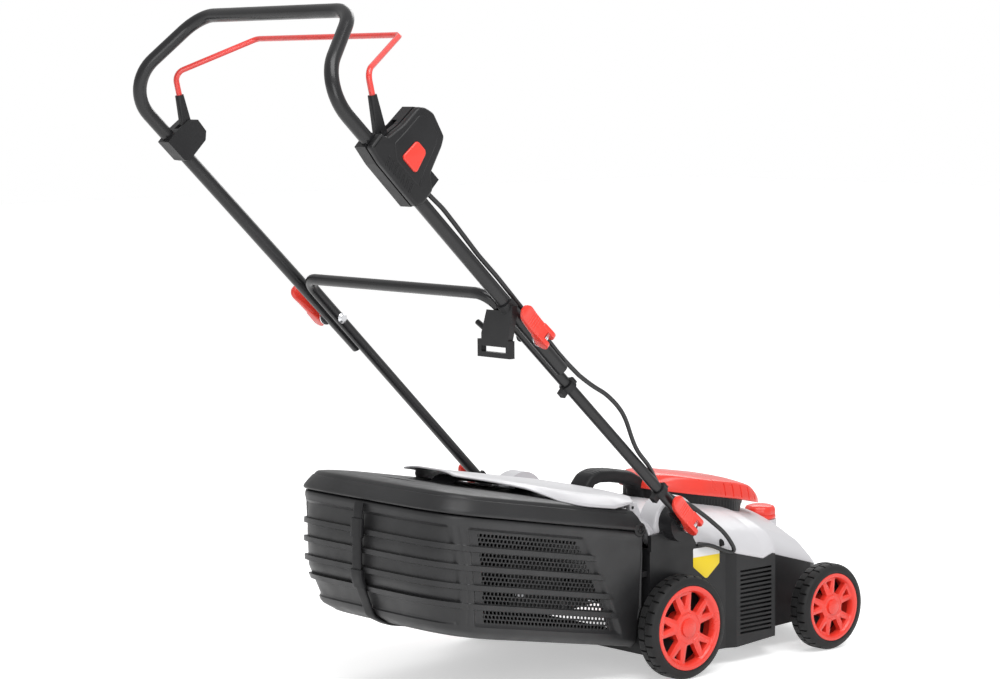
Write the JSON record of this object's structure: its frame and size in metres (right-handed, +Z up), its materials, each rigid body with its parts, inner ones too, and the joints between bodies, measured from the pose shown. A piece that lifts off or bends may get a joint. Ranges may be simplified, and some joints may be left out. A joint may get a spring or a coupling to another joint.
{
  "type": "electric rotary lawn mower",
  "caption": "Corded electric rotary lawn mower with a domed motor cover, front and rear wheels, a folding tubular handle with a bail, and a hard rear grass box under a hinged flap",
  "frame": {"origin": "centre of the whole mower's plan box, on the ground under it", "axes": "+Z up, +Y the way the mower travels, +X to the right of someone who pushes it"},
  "size_m": [0.521, 1.0614, 0.962],
  "materials": {
    "black_abs": "fine-grained black moulded plastic",
    "soft_black": "smooth black plastic",
    "grey_abs": "satin pale grey moulded plastic",
    "red_abs": "glossy orange-red moulded plastic",
    "black_paint": "gloss black powder coat on steel tube",
    "red_paint": "red plastic-dipped steel rod",
    "zinc": "bright zinc-plated steel",
    "blade_steel": "dark ground steel",
    "die_cast": "die-cast aluminium",
    "laminations": "varnished steel laminations and windings",
    "tyre_rubber": "black moulded tread",
    "cable_pvc": "black PVC sheath",
    "pin_brass": "nickelled brass"
  },
  "bodies": {
    "chassis": {"deck": "black_abs", "hood": "grey_abs", "motor_cover": "red_abs", "cover_band": "black_abs", "carry_handle": "black_abs", "nose_grille": "black_abs", "bracket_right": "black_abs", "bracket_left": "black_abs", "lower_bolts": "zinc", "lower_washers": "zinc", "flap_pin": "zinc", "flap_spring": "zinc", "motor_frame": "die_cast", "stator": "laminations", "brush_bridge": "soft_black", "motor_bearings": "zinc", "motor_screws": "zinc", "front_axles": "zinc", "rear_axles": "zinc", "cable_deck": "cable_pvc"},
    "height_knob": {"front_knob": "red_abs"},
    "blade_rotor": {"rotor": "laminations", "cooling_fan": "soft_black", "blade_holder": "soft_black", "blade": "blade_steel", "blade_bolt": "zinc"},
    "wheel_front_right": {"rim_front_right": "red_abs", "tyre_front_right": "tyre_rubber"},
    "wheel_front_left": {"rim_front_left": "red_abs", "tyre_front_left": "tyre_rubber"},
    "wheel_rear_right": {"rim_rear_right": "red_abs", "tyre_rear_right": "tyre_rubber"},
    "wheel_rear_left": {"rim_rear_left": "red_abs", "tyre_rear_left": "tyre_rubber"},
    "flap": {"rear_flap": "grey_abs"},
    "lower_handle": {"lower_frame": "black_paint", "mid_bolts": "zinc", "mid_washers": "zinc", "cable_clips": "black_abs", "cable_lower": "cable_pvc"},
    "clamp_lower_right": {"lever_lower_right": "red_abs"},
    "clamp_lower_left": {"lever_lower_left": "red_abs"},
    "clamp_upper_right": {"lever_upper_right": "red_abs"},
    "clamp_upper_left": {"lever_upper_left": "red_abs"},
    "upper_handle": {"handlebar": "black_paint", "switch_housing": "black_abs", "switch_cover": "black_abs", "micro_switch": "soft_black", "mains_inlet": "soft_black", "inlet_pins": "pin_brass", "bail_bracket": "black_abs", "cable_upper": "cable_pvc"},
    "restraint": {"cord_restraint": "black_abs"},
    "bail": {"bail_rod": "red_paint", "bail_boots": "black_abs"},
    "button": {"safety_button": "red_abs"},
    "grass_box": {"box_right": "black_abs", "box_left": "black_abs", "box_lid": "black_abs", "box_strap": "black_abs"}
  },
  "joints": [
    {"name": "blade_spin", "type": "hinge", "parent": "chassis", "child": "blade_rotor", "pos_m": [0, 0.28074, 0.06], "axis": [0, 0, 1], "continuous": true},
    {"name": "knob_turn", "type": "hinge", "parent": "chassis", "child": "height_knob", "pos_m": [0, 0.48074, 0.18], "axis": [0, 0, 1], "range_deg": [0, 90]},
    {"name": "wheel_front_right_spin", "type": "hinge", "parent": "chassis", "child": "wheel_front_right", "pos_m": [0.205, 0.41074, 0.065], "axis": [1, 0, 0], "continuous": true},
    {"name": "wheel_front_left_spin", "type": "hinge", "parent": "chassis", "child": "wheel_front_left", "pos_m": [-0.205, 0.41074, 0.065], "axis": [1, 0, 0], "continuous": true},
    {"name": "wheel_rear_right_spin", "type": "hinge", "parent": "chassis", "child": "wheel_rear_right", "pos_m": [0.205, 0.10574, 0.075], "axis": [1, 0, 0], "continuous": true},
    {"name": "wheel_rear_left_spin", "type": "hinge", "parent": "chassis", "child": "wheel_rear_left", "pos_m": [-0.205, 0.10574, 0.075], "axis": [1, 0, 0], "continuous": true},
    {"name": "flap_hinge", "type": "hinge", "parent": "chassis", "child": "flap", "pos_m": [0, 0.05974, 0.247], "axis": [-1, 0, 0], "range_deg": [0, 75], "stiffness_Nm_per_rad": 0.3, "springref_deg": -57.3},
    {"name": "lower_fold", "type": "hinge", "parent": "chassis", "child": "lower_handle", "pos_m": [0, 0.10774, 0.225], "axis": [1, 0, 0], "range_deg": [-125, 0], "deforming": ["cable_lower", "cable_deck"]},
    {"name": "upper_fold", "type": "hinge", "parent": "lower_handle", "child": "upper_handle", "pos_m": [0, -0.19172, 0.5152], "axis": [1, 0, 0], "range_deg": [0, 90], "deforming": ["cable_lower", "cable_upper"]},
    {"name": "clamp_lower_right_turn", "type": "hinge", "parent": "chassis", "child": "clamp_lower_right", "pos_m": [0.2285, 0.10774, 0.225], "axis": [0, 0.6959, 0.7181], "range_deg": [0, 110]},
    {"name": "clamp_lower_left_turn", "type": "hinge", "parent": "chassis", "child": "clamp_lower_left", "pos_m": [-0.2285, 0.10774, 0.225], "axis": [0, -0.6959, -0.7181], "range_deg": [0, 110]},
    {"name": "clamp_upper_right_turn", "type": "hinge", "parent": "lower_handle", "child": "clamp_upper_right", "pos_m": [0.24852, -0.19172, 0.5152], "axis": [0, 0.6959, 0.7181], "range_deg": [0, 110]},
    {"name": "clamp_upper_left_turn", "type": "hinge", "parent": "lower_handle", "child": "clamp_upper_left", "pos_m": [-0.24852, -0.19172, 0.5152], "axis": [0, -0.6959, -0.7181], "range_deg": [0, 110]},
    {"name": "bail_pull", "type": "hinge", "parent": "upper_handle", "child": "bail", "pos_m": [0, -0.44649, 0.7969], "axis": [1, 0, 0], "range_deg": [0, 30], "stiffness_Nm_per_rad": 1.2, "springref_deg": -22.92},
    {"name": "button_press", "type": "slide", "parent": "upper_handle", "child": "button", "axis": [-1, 0, 0], "range_m": [0, 0.004], "stiffness_N_per_m": 600, "springref_m": -0.002},
    {"name": "restraint_slide", "type": "slide", "parent": "upper_handle", "child": "restraint", "axis": [0, -0.7181, 0.6959], "range_m": [0, 0.02]},
    {"name": "box_lift_off", "type": "slide", "parent": "chassis", "child": "grass_box", "axis": [0, -0.9842, 0.1771], "range_m": [0, 0.25]}
  ]
}
